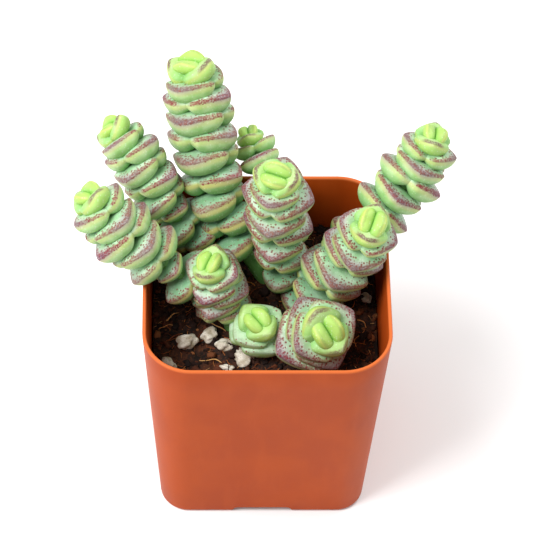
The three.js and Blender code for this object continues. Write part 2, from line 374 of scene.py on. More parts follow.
def pot_shell():
    rings = [square_ring(BOSS_RADIUS - BOSS_CHAMFER, BOSS_RADIUS - BOSS_CHAMFER, 0)]
    rings.append(square_ring(BOSS_RADIUS, BOSS_RADIUS, BOSS_CHAMFER))
    rings.append(square_ring(BOSS_RADIUS, BOSS_RADIUS, FLOOR_UNDERSIDE))
    rings.append(pot_ring(FLOOR_UNDERSIDE, FOOT_ROUND + POT_WALL, 0))
    rings.append(pot_ring(FOOT_CHAMFER, FOOT_ROUND + POT_WALL, 0))
    rings.append(pot_ring(0, FOOT_ROUND + POT_WALL - FOOT_CHAMFER, 0))
    for i in range(FOOT_STEPS + 1):
        a = math.radians(90 * i / FOOT_STEPS)
        rings.append(pot_ring(FOOT_ROUND * (1 - math.cos(a)), FOOT_ROUND * (1 - math.sin(a)), FOOT_ROUND))
    for i in range(1, WALL_STEPS):
        rings.append(pot_ring(POT_HEIGHT * i / WALL_STEPS, 0))
    round_over = POT_WALL / 2
    for i in range(RIM_STEPS + 1):
        a = math.radians(180 * i / RIM_STEPS)
        z = POT_HEIGHT - round_over + round_over * math.sin(a)
        rings.append(pot_ring(z, round_over - round_over * math.cos(a)))
    for i in range(WALL_STEPS - 1, 0, -1):
        rings.append(pot_ring(FLOOR_TOP + (POT_HEIGHT - FLOOR_TOP) * i / WALL_STEPS, POT_WALL))
    rings.append(pot_ring(FLOOR_TOP, POT_WALL))
    rings.append(square_ring(BOSS_RADIUS, BOSS_RADIUS, FLOOR_TOP))
    return skin((0, 0, 0), rings, (0, 0, FLOOR_TOP))


pot = mesh_piece("nursery_pot", *pot_shell())
print("pot shell:", len(pot.data.vertices), "points")

# %% Cut the notches and the drain holes
# How far a notch's slanted side stands out from half its width, and at what height, from the bottom up
NOTCH_SIDE = [(1.4, -1), (0.9, 0), (0.55, 0.9), (0.15, 1.55), (-0.6, 1.9)]
NOTCH_OUTSIDE = 2 * MM
NOTCH_INSIDE = 4 * MM
DRAIN_CUT_MIDDLE = 2 * MM
DRAIN_CUT_DEPTH = 6 * MM
DRAIN_SIDES = 40


def notch_cutter(side):
    """A flat bar with slanted, rounded ends, which opens the bottom edge of one side."""
    half = NOTCH_WIDTH / 2
    right = [(half + out * MM, height * MM) for out, height in NOTCH_SIDE]
    left = [(-x, z) for x, z in reversed(right)]
    outline = left[-1:] + right + left[:-1]
    near, far = -POT_BASE_WIDTH / 2 - NOTCH_OUTSIDE, -POT_BASE_WIDTH / 2 + NOTCH_INSIDE
    points = [(x, near, z) for x, z in outline] + [(x, far, z) for x, z in outline]
    n = len(outline)
    faces = [tuple(range(n)), tuple(range(2 * n - 1, n - 1, -1))]
    faces += [(i, n + i, n + (i + 1) % n, (i + 1) % n) for i in range(n)]
    cutter = mesh_piece("cutter", points, faces)
    cutter.data.transform(Matrix.Rotation(math.radians(90 * side), 4, "Z"))
    return cutter


def drain_cutter(side):
    a = math.radians(90 * side + 45)
    shape = bmesh.new()
    spot = Matrix.Translation((DRAIN_OFFSET * math.cos(a), DRAIN_OFFSET * math.sin(a), DRAIN_CUT_MIDDLE))
    size = {"radius1": DRAIN_RADIUS, "radius2": DRAIN_RADIUS, "depth": DRAIN_CUT_DEPTH}
    bmesh.ops.create_cone(shape, cap_ends=True, segments=DRAIN_SIDES, matrix=spot, **size)
    cutter = mesh_piece("cutter", [], [])
    shape.to_mesh(cutter.data)
    shape.free()
    return cutter


def outwards(piece):
    """Turns every face of a closed mesh outwards."""
    shape = bmesh.new()
    shape.from_mesh(piece.data)
    bmesh.ops.recalc_face_normals(shape, faces=shape.faces)
    shape.to_mesh(piece.data)
    shape.free()


cutters = [notch_cutter(side) for side in range(4)] + [drain_cutter(side) for side in range(4)]
for cutter in cutters:
    outwards(cutter)
    cut = pot.modifiers.new("cut", "BOOLEAN")
    cut.operation = "DIFFERENCE"
    cut.solver = "EXACT"
    cut.object = cutter
pot = plain_copy(pot, "nursery_pot")
for cutter in cutters:
    bpy.data.objects.remove(cutter)
soften(pot, 40)
print("pot with", len(cutters), "cuts:", len(pot.data.polygons), "faces")

# %% [markdown]
# ## The pot's plastic
#
# The pot is moulded in terracotta-coloured plastic with a satin skin. It is nearly one colour, but not flat:
# there is faint mottling, a very fine grain that breaks up highlights, and slight streaks where the plastic
# flowed up the wall in the mould. The rim's thin top edge is painted lighter than the walls: a painted
# highlight for the light that it catches.

# %% Pot material


def new_material(name, **fixed):
    """A Principled material with its fixed numbers set on the shader's own sockets."""
    material = bpy.data.materials.new(name)
    material.use_nodes = True
    web = Web(material.node_tree)
    shader = web.node("ShaderNodeBsdfPrincipled", sockets={k.replace("_", " "): v for k, v in fixed.items()})
    web.node("ShaderNodeOutputMaterial", sockets={"Surface": shader})
    return material, web, shader.socket.node


def plug(web, shader, name, wire):
    web.tree.links.new(wire.socket, shader.inputs[name])


def noise_at(web, place, scale, detail=3.0, rough=0.5, out=0):
    sockets = {"Vector": place, "Scale": scale, "Detail": detail, "Roughness": rough}
    return web.node("ShaderNodeTexNoise", sockets=sockets, out=out)


def make_pot_plastic():
    material, web, shader = new_material("satin_terracotta_plastic", Specular_IOR_Level=0.1)
    place = web.node("ShaderNodeTexCoord", out=3)
    stretched = web.node("ShaderNodeMapping", sockets={"Vector": place, "Scale": (1.0, 1.0, 0.22)})
    mottle = noise_at(web, place, 70.0, 4.0)
    flow = noise_at(web, stretched, 260.0, 3.0)
    tone = web.mix(mottle.rise(0.35, 0.7), rgb(163, 64, 16), rgb(172, 71, 20))
    tone = web.mix(flow.rise(0.45, 0.75) * 0.35, tone, rgb(180, 77, 26))
    height = web.node("ShaderNodeSeparateXYZ", sockets={0: place}, out=2)
    # Painted highlight: the rim's top edge is painted a lighter orange for the light that it catches.
    edge = height.rise(POT_HEIGHT - 0.8 * MM, POT_HEIGHT - 0.1 * MM)
    tone = web.mix(edge * 0.55, tone, rgb(224, 120, 66))
    plug(web, shader, "Base Color", tone)
    plug(web, shader, "Roughness", 0.36 + mottle * 0.12)
    grain = noise_at(web, place, 5200.0, 2.0)
    bump = web.node("ShaderNodeBump", sockets={"Strength": 0.12, "Distance": 0.0001, "Height": grain})
    plug(web, shader, "Normal", bump)
    return material


pot_plastic = make_pot_plastic()
pot.data.materials.clear()
pot.data.materials.append(pot_plastic)
hand_over(pot, "pot")
print("pot finished:", len(pot.data.polygons), "faces")

# %% [markdown]
# ## The leaf
#
# One leaf is a thick boat. Its upper face is nearly flat, its underside bulges like a hull, and the ridge
# between them runs round a broad triangle with a blunt corner at the tip. The leaf is drawn for a reach of
# one unit from the middle of the stem, along +X. A stack of rings from the stem to the tip gives full control
# of the section, which a subdivided block wouldn't.
#
# The leaf changes with age. A bud leaf is short, hollow above and curled over its partner, a young one still
# hugs the bud, and a grown one lies flat or droops a little. So the same function makes a few stages. Each
# point stores how far it lies from the ridge (negative on the upper face) and how far along the leaf it is.
# The material reads both.

# %% Leaf shape
HALF_WIDTH = 0.81
WAIST = 0.84
WIDEST_AT = 0.28
DECK = 0.18
BELLY = 0.46
SEAM_DEPTH = 0.55
DEEPEST_AT = 0.38
INNER_END = 0.14
MARGIN_ROUNDNESS = 0.75
SECTION_ROUNDNESS = 0.85
CROWN_FLATNESS = 5
KEEL_FULLNESS = 2.2
KEEL_ROUNDNESS = 0.6
LEAF_RINGS = 26
LEAF_SIDES = 40
MARGIN_SAMPLES = 60


def outline(x, tip_power):
    """The leaf's half width along its length, as a part of the widest."""
    if x < 0:
        return WAIST * math.sqrt(max(0.0, 1 - (x / INNER_END) ** 2))
    if x < WIDEST_AT:
        return WAIST + (1 - WAIST) * math.sin(math.pi / 2 * x / WIDEST_AT)
    return max(0.0, 1 - ((x - WIDEST_AT) / (1 - WIDEST_AT)) ** tip_power) ** MARGIN_ROUNDNESS


def depth(x):
    """How deep the leaf is along its length, as a part of the deepest."""
    if x < 0:
        return SEAM_DEPTH * math.sqrt(max(0.0, 1 - (x / INNER_END) ** 2))
    if x < DEEPEST_AT:
        return SEAM_DEPTH + (1 - SEAM_DEPTH) * math.sin(math.pi / 2 * x / DEEPEST_AT)
    return max(0.0, 1 - ((x - DEEPEST_AT) / (1 - DEEPEST_AT)) ** KEEL_FULLNESS) ** KEEL_ROUNDNESS


def signed_power(value, power):
    return math.copysign(abs(value) ** power, value)


def bent(x, z, bend):
    """A point of the leaf's middle section after the leaf is bent upwards by an angle over its length."""
    if abs(bend) < 1e-4 or x <= 0:
        return x, z
    radius = 1 / bend
    angle = x * bend
    return (radius - z) * math.sin(angle), radius - (radius - z) * math.cos(angle)


def leaf_point(x, turn, stage):
    c = math.cos(turn)
    q = math.sin(turn)
    y = HALF_WIDTH * stage["width"] * outline(x, stage["tip"]) * signed_power(c, SECTION_ROUNDNESS)
    if q >= 0:
        z = depth(x) * (DECK * q**SECTION_ROUNDNESS + stage["crown"] * (1 - abs(c) ** CROWN_FLATNESS))
    else:
        z = -BELLY * stage["belly"] * depth(x) * abs(q) ** SECTION_ROUNDNESS
    z += stage["lift"] * math.sin(math.pi * min(1.0, max(0.0, x))) * c * c
    x2, z2 = bent(x, z, stage["bend"])
    return (x2, y, z2)


def make_leaf(name, stage):
    stations = [(1 - math.cos(math.pi * (i + 0.5) / LEAF_RINGS)) / 2 for i in range(LEAF_RINGS)]
    xs = [-INNER_END + (1 + INNER_END) * s for s in stations]
    turns = [2 * math.pi * (j + 0.5) / LEAF_SIDES for j in range(LEAF_SIDES)]
    rings = [[leaf_point(x, turn, stage) for turn in turns] for x in xs]
    points, faces = skin(leaf_point(-INNER_END, 0, stage), rings, leaf_point(1.0, 0, stage))
    leaf = mesh_piece(name, points, faces, keep=False)
    margin = [leaf_point(x, side, stage) for side in (0, math.pi) for x in np.linspace(0, 1, MARGIN_SAMPLES)]
    gaps = np.array(points)[:, None, :] - np.array(margin)[None, :, :]
    nearest = np.sqrt((gaps**2).sum(axis=2)).min(axis=1)
    upper = np.array([1.0] + [1.0 if math.sin(t) > 0 else -1.0 for _ in xs for t in turns] + [1.0])
    along = np.array([-INNER_END] + [x for x in xs for _ in turns] + [1.0])
    for label, values in (("rim", -upper * nearest), ("along", along)):
        leaf.data.attributes.new(label, "FLOAT", "POINT").data.foreach_set("value", values.astype(np.float32))
    return leaf


STAGES = {
    "leaf_0_bud": dict(width=1.2, tip=2.0, crown=0.2, belly=1.0, bend=1.1, lift=0.0),
    "leaf_1_young": dict(width=0.95, tip=1.35, crown=0.06, belly=1.05, bend=0.62, lift=0.0),
    "leaf_2_half_grown": dict(width=0.97, tip=1.4, crown=-0.02, belly=1.05, bend=0.2, lift=0.04),
    "leaf_3_grown": dict(width=1.0, tip=1.25, crown=0.0, belly=1.0, bend=0.05, lift=0.04),
    "leaf_4_grown": dict(width=0.98, tip=1.3, crown=-0.02, belly=1.04, bend=-0.08, lift=0.03),
    "leaf_5_old": dict(width=0.84, tip=1.5, crown=0.02, belly=1.08, bend=0.1, lift=0.0),
}
leaf_shelf = bpy.data.collections.new("leaf_stages")
for label, stage in STAGES.items():
    leaf_shelf.objects.link(make_leaf(label, stage))

# %% [markdown]
# ## A stem and its leaves, by Geometry Nodes
#
# The leaves of a stem follow a rule, so Geometry Nodes place them. The tree takes the stem's curve and one
# point for each leaf. Two leaves share a rank, counted from the growing tip. The rank sets how far down the
# curve the pair sits, how large it is, how far it stands up and which way it points: each rank is a quarter
# turn from the last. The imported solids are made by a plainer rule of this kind. The tree also stores the rank
# and the stem's own blush for the material, adds the stem itself as a tube, and ends in plain geometry.

# %% Tree for a leafy stem
STEM_RADIUS = 1.7 * MM
STEM_TIP_RADIUS = 1.1 * MM
STEM_SIDES = 14
LEAF_OVER_RIM = 5.5 * MM
LEAF_CORNER = 0.3 * MM
# Pairs are spaced by rank, a little wider further down, and crowded near the tip
SPACING = 0.88
SPACING_GROWTH = 0.03
CROWDING = 1.35
CROWDED_RANKS = 1.8
# Young leaves stand up and old ones droop, in degrees
TILT_OLD = -6.0
TILT_YOUNG = 22.0
TILTED_RANKS = 2.3
TILT_POWER = 1.1
# A leaf grows from a small one at the tip, and fades again in size on the lower stem
SHORTFALL = 0.6
GROWTH = 0.45
GROWTH_SPEEDUP = 0.08
FADE_FROM_RANK = 4.0
GROWN_FROM_RANK = 2.5
OLDEST_FROM_RANK = 7.5
# No two leaves are quite alike
SWAY = 0.07
LEAN = 0.05
SWELL = 0.03


def stored(web, geometry, name, value, domain="POINT"):
    settings = {"data_type": "FLOAT", "domain": domain}
    sockets = {"Geometry": geometry, "Name": name, "Value": value}
    return web.node("GeometryNodeStoreNamedAttribute", settings, sockets)


def random_float(web, low, high, number, seed):
    node = web.node("FunctionNodeRandomValue", {"data_type": "FLOAT"}, {"ID": number, "Seed": seed}, out=1)
    node.socket.node.inputs[2].default_value = low
    node.socket.node.inputs[3].default_value = high
    return node


def turned(web, rotation, x, y, z):
    """A rotation turned further about its own axes, by angles in radians."""
    angles = web.node("ShaderNodeCombineXYZ", sockets={0: x, 1: y, 2: z})
    extra = web.node("FunctionNodeEulerToRotation", sockets={0: angles})
    return web.node("FunctionNodeRotateRotation", {"rotation_space": "LOCAL"}, {0: rotation, 1: extra})


def room_in_pot(web, place):
    """How far a leaf can reach from a place on its stem before it meets the pot's wall."""
    apart = web.node("ShaderNodeSeparateXYZ", sockets={0: place})
    height = web.output(apart, 2)
    taper = (POT_TOP_WIDTH - POT_BASE_WIDTH) / POT_HEIGHT / 2
    inside = height * taper + (POT_BASE_WIDTH / 2 - POT_WALL + LEAF_CORNER)
    room = inside - apart.absolute().larger(web.output(apart, 1).absolute())
    return room + (height - POT_HEIGHT - LEAF_OVER_RIM).rise(0.0, 0.01 * MM)


def stem_tree(material):
    inputs = {"Reach": "Float", "Pitch": "Float", "Pairs": "Int", "Fade": "Float", "Phase": "Float"}
    inputs |= {"Blush": "Float", "Seed": "Int", "Leaves": "Collection"}
    tree, web, given = new_tree("leafy_stem", inputs)
    curve = given["Geometry"]
    index = web.node("GeometryNodeInputIndex")
    rank = (index / 2.0).floor() - 1.0
    half = index - (index / 2.0).floor() * 2.0
    opened = rank.larger(0.0)
    seed = given["Seed"]

    down = SPACING * opened + SPACING_GROWTH * opened * opened
    down = down - CROWDING * (1.0 - (opened / -CROWDED_RANKS).exp())
    length = web.node("GeometryNodeCurveLength", sockets={0: curve})
    sockets = {"Curves": curve, "Length": length - given["Pitch"] * down}
    sampled = web.node("GeometryNodeSampleCurve", {"mode": "LENGTH"}, sockets, 1)
    tangent = web.output(sampled, 2)
    points = web.node("GeometryNodePoints", sockets={"Count": given["Pairs"] * 2.0, "Position": sampled})

    sway = random_float(web, -SWAY, SWAY, rank, seed)
    lean = random_float(web, -LEAN, LEAN, index, seed + 7)
    swell = random_float(web, 1.0 - SWELL, 1.0 + SWELL, index, seed + 13)
    azimuth = (given["Phase"] + 90.0 * rank + 180.0 * half) * (math.pi / 180) + sway
    upright = (-1.0 * (opened / TILTED_RANKS) ** TILT_POWER).exp()
    tilt = (TILT_OLD + TILT_YOUNG * upright) * (math.pi / 180) + lean
    size = 1.0 - SHORTFALL * (-GROWTH * rank - GROWTH_SPEEDUP * rank * rank).exp()
    size = size * (1.0 - given["Fade"] * (rank - FADE_FROM_RANK).larger(0.0)) * swell * given["Reach"]
    size = size.smaller(room_in_pot(web, sampled))
    settings = {"primary_axis": "Z", "secondary_axis": "X"}
    rotation = web.node("FunctionNodeAxesToRotation", settings, {0: tangent, 1: (1.0, 0.0, 0.0)})
    rotation = turned(web, rotation, 0.0, 0.0, azimuth)
    rotation = turned(web, rotation, 0.0, -tilt, 0.0)

    other = random_float(web, 0.0, 1.0, index, seed + 3).rise(0.499, 0.501)
    grown = (rank - GROWN_FROM_RANK).rise(-0.1, 0.1)
    oldest = (rank - OLDEST_FROM_RANK).rise(-0.1, 0.1)
    stage = opened.smaller(3.0) + grown * other * (1.0 - oldest) + 2.0 * oldest + 0.3

    points = stored(web, points, "age", rank)
    points = stored(web, points, "blush", given["Blush"])
    points = stored(web, points, "chance", random_float(web, 0.0, 1.0, index, seed + 21))
    shelf_settings = {"transform_space": "ORIGINAL"}
    shelf_sockets = {"Collection": given["Leaves"], "Separate Children": True, "Reset Children": True}
    shelf = web.node("GeometryNodeCollectionInfo", shelf_settings, shelf_sockets)
    sockets = {"Points": points, "Instance": shelf, "Pick Instance": True, "Instance Index": stage}
    sockets |= {"Rotation": rotation, "Scale": size}
    leaves = web.node("GeometryNodeInstanceOnPoints", sockets=sockets)
    leaves = web.node("GeometryNodeRealizeInstances", sockets={0: leaves})

    factor = web.node("GeometryNodeSplineParameter")
    radius = STEM_RADIUS + factor * (STEM_TIP_RADIUS - STEM_RADIUS)
    profile = web.node("GeometryNodeCurvePrimitiveCircle", sockets={"Resolution": STEM_SIDES, "Radius": 1.0})
    sockets = {"Curve": curve, "Profile Curve": profile, "Scale": radius, "Fill Caps": True}
    tube = web.node("GeometryNodeCurveToMesh", sockets=sockets)
    # These values give the stem the colour of an old leaf's deep underside, with its painted shade.
    for label, value in (("rim", 0.7), ("along", 0.0), ("age", 9.0), ("blush", 0.3), ("chance", 0.5)):
        tube = stored(web, tube, label, value)

    joined = web.node("GeometryNodeJoinGeometry")
    web.tree.links.new(tube.socket, joined.socket.node.inputs[0])
    web.tree.links.new(leaves.socket, joined.socket.node.inputs[0])
    whole = web.node("GeometryNodeRealizeInstances", sockets={0: joined})
    whole = web.node("GeometryNodeSetShadeSmooth", sockets={"Geometry": whole, "Shade Smooth": True})
    whole = web.node("GeometryNodeSetMaterial", sockets={"Geometry": whole, "Material": material})
    web.node("NodeGroupOutput", sockets={0: whole})
    return tree


# %% [markdown]
# ## The leaf's skin
#
# The leaves carry a pale, waxy bloom over green. The upper face is the palest. A band of maroon runs just
# inside the margin, sharp on its outer side and breaking up into speckles on its inner side, and it turns
# purple at the tip. Below the margin the skin is yellowish, then green, and deeper under the leaf it is painted
# a darker green: painted shade from the neighbouring pair. Lower leaves are darker green too, partly from age
# and partly as painted shade. Bud leaves are lime green with only a red dot at the tip. All of this depends on
# the distance from the margin and on the rank, which the leaf stores, so the colours are sums of smooth steps
# over those two. The speckles are the cells of a Voronoi pattern, kept only where the wanted density is higher
# than the cell's own random number.

# %% Leaf material


def make_leaf_skin():
    fixed = {"Subsurface_Weight": 0.14, "Subsurface_Scale": 0.0014, "Subsurface_Radius": (0.8, 1.0, 0.5)}
    material, web, shader = new_material("waxy_leaf_skin", **fixed, **{"Specular_IOR_Level": 0.4})
    place = web.node("ShaderNodeTexCoord", out=3)
    rim = web.attribute("rim")
    along = web.attribute("along")
    age = web.attribute("age")
    blush = web.attribute("blush")
    chance = web.attribute("chance")

    cloud = noise_at(web, place, 420.0, 3.0)
    fine = noise_at(web, place, 2600.0, 2.0)
    cells = web.node("ShaderNodeTexVoronoi", {"feature": "F1"}, {"Vector": place, "Scale": 1700.0})
    youth = 1.0 - age.rise(0.2, 2.6)
    # Lower leaves by rank: their darker green is partly their age and partly painted shade.
    old_and_shaded = age.rise(4.5, 9.0)
    inward = 0.0 - rim
    tip = along.rise(0.45, 0.95)

    deck = web.mix(cloud.rise(0.35, 0.7), rgb(150, 192, 148), rgb(192, 220, 190))
    # Painted shade, partly real age: the upper faces of lower leaves are painted a darker green.
    deck = web.mix(old_and_shaded * 0.75, deck, rgb(106, 158, 118))
    belly = web.mix(cloud.rise(0.3, 0.7), rgb(142, 188, 112), rgb(178, 208, 150))
    # Painted shade: deeper under the leaf, away from the margin, the belly is painted a darker green for the
    # shade of the neighbouring pair.
    belly = web.mix(rim.rise(0.16, 0.4) * 0.75, belly, rgb(122, 176, 104))
    # Painted shade, partly real age: the undersides of lower leaves are painted a darker green still.
    belly = web.mix(old_and_shaded * 0.8, belly, rgb(84, 136, 62))
    skin_tone = web.mix(rim.rise(-0.03, 0.05), deck, belly)
    lime = web.mix(along.rise(0.0, 0.8), rgb(112, 176, 34), rgb(166, 202, 84))
    skin_tone = web.mix(youth * 0.9, skin_tone, lime)
    warm = (1.0 - (rim - 0.07).absolute().rise(0.02, 0.14)) * blush * (0.35 + old_and_shaded * 0.4)
    skin_tone = web.mix(warm, skin_tone, rgb(214, 196, 118))

    mauve = tip * (1.0 - (rim + 0.1).absolute().rise(0.06, 0.3)) * age.rise(0.6, 2.4) * blush
    skin_tone = web.mix(mauve * (1.0 - old_and_shaded * 0.7) * 0.75, skin_tone, rgb(158, 122, 150))

    ragged = inward + (fine - 0.5) * 0.09 + (cloud - 0.5) * 0.06
    reach = 0.07 + tip * 0.04
    band = ragged.rise(-0.045, 0.0) * (1.0 - (ragged - reach).rise(0.0, 0.07))
    grown_band = age.rise(0.9, 2.2)
    tip_only = along.rise(0.6, 0.85) * (1.0 - (ragged - 0.05).absolute().rise(0.05, 0.12))
    band = (band * grown_band).larger(tip_only * (1.0 - grown_band) * age.rise(-0.5, 1.0))
    band = band * along.rise(0.03, 0.3) * blush.smaller(1.0) * (1.0 - old_and_shaded * 0.25)
    maroon = web.mix(tip * (1.0 - old_and_shaded), rgb(132, 26, 30), rgb(100, 24, 58))
    grainy = 1.0 - 0.55 * fine.rise(0.42, 0.68)
    skin_tone = web.mix(band * grainy * 0.9, skin_tone, maroon)

    luck = web.node("ShaderNodeSeparateXYZ", sockets={0: web.output(cells, 1)})
    wanted = (1.0 - inward.rise(0.08, 0.4 + tip * 0.25)) * ragged.rise(-0.05, 0.0) * age.rise(1.0, 2.4)
    wanted = wanted * blush * along.rise(0.03, 0.35)
    dots = (1.0 - cells.rise(0.36, 0.5)) * (wanted * 0.9 - luck).rise(0.0, 0.06)
    skin_tone = web.mix(dots * 0.9, skin_tone, rgb(120, 26, 40))

    frost = (1.0 - cells.rise(0.2, 0.38)) * (luck - 0.55).rise(0.0, 0.06)
    skin_tone = web.mix(frost * (0.2 - band * 0.15), skin_tone, rgb(236, 240, 232))
    skin_tone = web.mix((chance - 0.5).absolute() * 0.25, skin_tone, rgb(150, 196, 140))
    plug(web, shader, "Base Color", skin_tone)
    plug(web, shader, "Roughness", 0.44 + cloud * 0.14)

    pores = web.node("ShaderNodeTexVoronoi", {"feature": "SMOOTH_F1"}, {"Vector": place, "Scale": 2600.0})
    relief = pores * 0.6 + cloud * 0.8
    bump = web.node("ShaderNodeBump", sockets={"Strength": 0.22, "Distance": 0.00022, "Height": relief})
    plug(web, shader, "Normal", bump)
    return material


leaf_skin = make_leaf_skin()
tree = stem_tree(leaf_skin)
print("leaf skin and stem tree ready:", len(tree.nodes), "nodes")

# %% [markdown]
# ## The ten stems
#
# Each stem starts in the soil and ends at its growing tip, within about 4 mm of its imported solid's tip. Its
# curve has four points, in millimetres. Then come the leaves' reach, the distance between pairs, the number
# of pairs, how fast the lower leaves shrink, the direction of the first pair, and how much the stem has
# blushed: the small stem at the front grew in shade and is nearly all green.

# %% Grow the stems
ROOT_BOTTOM = 42
CURVE_STEPS = 24
FIRST_SEED = 11
STEMS = {
    "stem_tall_back": dict(
        path=[(0.5, 10, 47), (-17.9, 18.3, 73), (-13.7, 32.4, 83.2), (-17.7, 36, 94.4)],
        reach=9.7, pitch=4.2, pairs=11, fade=0.03, phase=59, blush=1,
    ),
    "stem_small_back": dict(
        path=[(5, 19.5, 47), (3, 18.5, 72), (-2.6, 30.6, 69.5), (-3.9, 32.4, 74.6)],
        reach=6.6, pitch=3.6, pairs=6, fade=0.03, phase=180, blush=0.8,
    ),
    "stem_left_upper": dict(
        path=[(-10.4, 15, 47), (-27.1, 12.4, 75.4), (-31.1, 24.6, 81.9), (-35.7, 25.5, 84.5)],
        reach=8.1, pitch=3.75, pairs=10, fade=0.03, phase=64, blush=0.95,
    ),
    "stem_left_lower": dict(
        path=[(-9.4, 1.8, 47), (-9.1, -0.4, 59), (-25.5, -3.4, 65.5), (-40.6, 6, 84.1)],
        reach=8.8, pitch=4.1, pairs=11, fade=0.04, phase=35, blush=0.95,
    ),
    "stem_front_left": dict(
        path=[(-8, -3.2, 47), (-11.3, 1.4, 58), (-11.5, -2.5, 64), (-13.1, -2.4, 70)],
        reach=8.1, pitch=3.3, pairs=7, fade=0.04, phase=158, blush=0.95,
    ),
    "stem_small_front": dict(
        path=[(-2.2, -9.3, 47), (-2.6, -8.5, 50.5), (-1.8, -8.2, 53), (-2.1, -9.4, 57.2)],
        reach=8.3, pitch=3, pairs=4, fade=0.02, phase=40, blush=0.2,
    ),
    "stem_front_right": dict(
        path=[(9.5, -9.5, 47), (9.8, -10.2, 52.5), (12, -11, 56), (13.6, -15, 61)],
        reach=10.4, pitch=3.2, pairs=5, fade=0.02, phase=33, blush=0.85,
    ),
    "stem_middle": dict(
        path=[(4.9, 8, 47), (2.5, 11, 67), (2.4, 10.7, 84), (1.8, 8.7, 88.1)],
        reach=9.2, pitch=4.65, pairs=10, fade=0.07, phase=72, blush=1,
    ),
    "stem_right_front": dict(
        path=[(10.9, 2.6, 47), (11.5, 1.5, 57), (21, 5, 63.5), (23.5, 1, 80.5)],
        reach=9.15, pitch=4.5, pairs=9, fade=0.03, phase=162, blush=1,
    ),
    "stem_right_back": dict(
        path=[(13.8, 11.9, 47), (17.8, 4.5, 71), (34.2, 17.7, 71.4), (38.2, 22, 86.4)],
        reach=8.45, pitch=4, pairs=11, fade=0.03, phase=173, blush=1,
    ),
}


def stem_curve(name, path):
    """A Bezier curve from the root, straight up to the soil and on to the tip."""
    data = bpy.data.curves.new(name, "CURVE")
    data.dimensions = "3D"
    data.resolution_u = CURVE_STEPS
    start, lower, upper, end = (Vector(p) * MM for p in path)
    root = Vector((start.x, start.y, ROOT_BOTTOM * MM))
    spline = data.splines.new("BEZIER")
    spline.bezier_points.add(2)
    rise = (start - root) / 3
    shapes = [(root, root - rise, root + rise), (start, start - rise, lower), (end, upper, end * 2 - upper)]
    for point, (spot, left, right) in zip(spline.bezier_points, shapes):
        point.handle_left_type = point.handle_right_type = "FREE"
        point.co, point.handle_left, point.handle_right = spot, left, right
    made = bpy.data.objects.new(name, data)
    bpy.context.scene.collection.objects.link(made)
    return made


def grow(name, seed, path, reach, pitch, pairs, fade, phase, blush):
    growing = stem_curve(name + "_curve", path)
    modifier = growing.modifiers.new("leaves", "NODES")
    modifier.node_group = tree
    values = {"Reach": reach * MM, "Pitch": pitch * MM, "Pairs": pairs + 1, "Fade": float(fade)}
    values |= {"Phase": float(phase), "Blush": float(blush), "Seed": seed, "Leaves": leaf_shelf}
    for label, value in values.items():
        set_input(modifier, label, value)
    return plain_copy(growing, "crassula_" + name)


for seed, (name, habit) in enumerate(STEMS.items(), FIRST_SEED):
    stem = grow(name, seed, **habit)
    hand_over(stem, name)
    print(name, "faces:", len(stem.data.polygons))
for leaf in list(leaf_shelf.objects):
    bpy.data.objects.remove(leaf)
bpy.data.collections.remove(leaf_shelf)

# %% [markdown]
# ## The soil
#
# The pot holds a coarse mix: dark, damp peat, rusty coir fibres and bits of bark. The body of the soil is a
# closed block whose top is raised by fractal noise. Crumbs and fibres are scattered over the top by Geometry
# Nodes, because they repeat by the hundred, and each has only a few faces.

# %% Soil body
SOIL_LEVEL = 47.3 * MM
SOIL_RELIEF = 0.7 * MM
SOIL_RINGS = 90
SOIL_CORNER = 8.7 * MM
SOIL_CORNER_STEPS = 36
SOIL_TOP_SHARE = 0.72
SOIL_FOOT_SHARE = 0.9
CLEARANCE = 0.3 * MM
GRAIN_HEIGHT = 0.55 * MM
GRAINS_PER_METRE = 330
CLOD_HEIGHT = 1.1 * MM
CLODS_PER_METRE = 120


def soil_height(x, y):
    """The packed soil's own gentle waves, for a place in metres."""
    u, v = x / MM, y / MM
    waves = math.sin(0.31 * u + 0.17 * v + 0.8) + math.sin(0.24 * v - 0.39 * u + 2.1)
    waves += 0.7 * math.sin(0.61 * u + 0.53 * v)
    return SOIL_LEVEL + SOIL_RELIEF * 0.4 * waves


def crumbly(x, y):
    rough = noise.fractal(Vector((x, y, 0)) * GRAINS_PER_METRE, 0.9, 2.1, 5)
    clods = noise.fractal(Vector((x, y, 0.3)) * CLODS_PER_METRE, 1.0, 2.0, 3)
    return soil_height(x, y) + GRAIN_HEIGHT * rough + CLOD_HEIGHT * clods


def soil_body():
    width = POT_BASE_WIDTH + (POT_TOP_WIDTH - POT_BASE_WIDTH) * SOIL_TOP_SHARE
    edge = square_ring(width / 2 - POT_WALL - CLEARANCE, SOIL_CORNER, 0, steps=SOIL_CORNER_STEPS)
    rings = [[(x * SOIL_FOOT_SHARE, y * SOIL_FOOT_SHARE, FLOOR_TOP + CLEARANCE) for x, y, _ in edge]]
    for i in range(SOIL_RINGS, 0, -1):
        part = i / SOIL_RINGS
        rings.append([(x * part, y * part, crumbly(x * part, y * part)) for x, y, _ in edge])
    return skin((0, 0, FLOOR_TOP + CLEARANCE), rings, (0, 0, crumbly(0, 0)))


soil = mesh_piece("potting_soil", *soil_body())
ring_points = (len(soil.data.vertices) - 2) // (SOIL_RINGS + 1)
soil_half = max(v.co.x for v in soil.data.vertices)
room = [0.0] * (1 + ring_points)
for number in range(SOIL_RINGS):
    room += [soil_half * number / SOIL_RINGS] * ring_points
room.append(soil_half)
soil.data.attributes.new("room", "FLOAT", "POINT").data.foreach_set("value", room)
for polygon in soil.data.polygons:
    polygon.use_smooth = True
print("soil body:", len(soil.data.polygons), "faces")

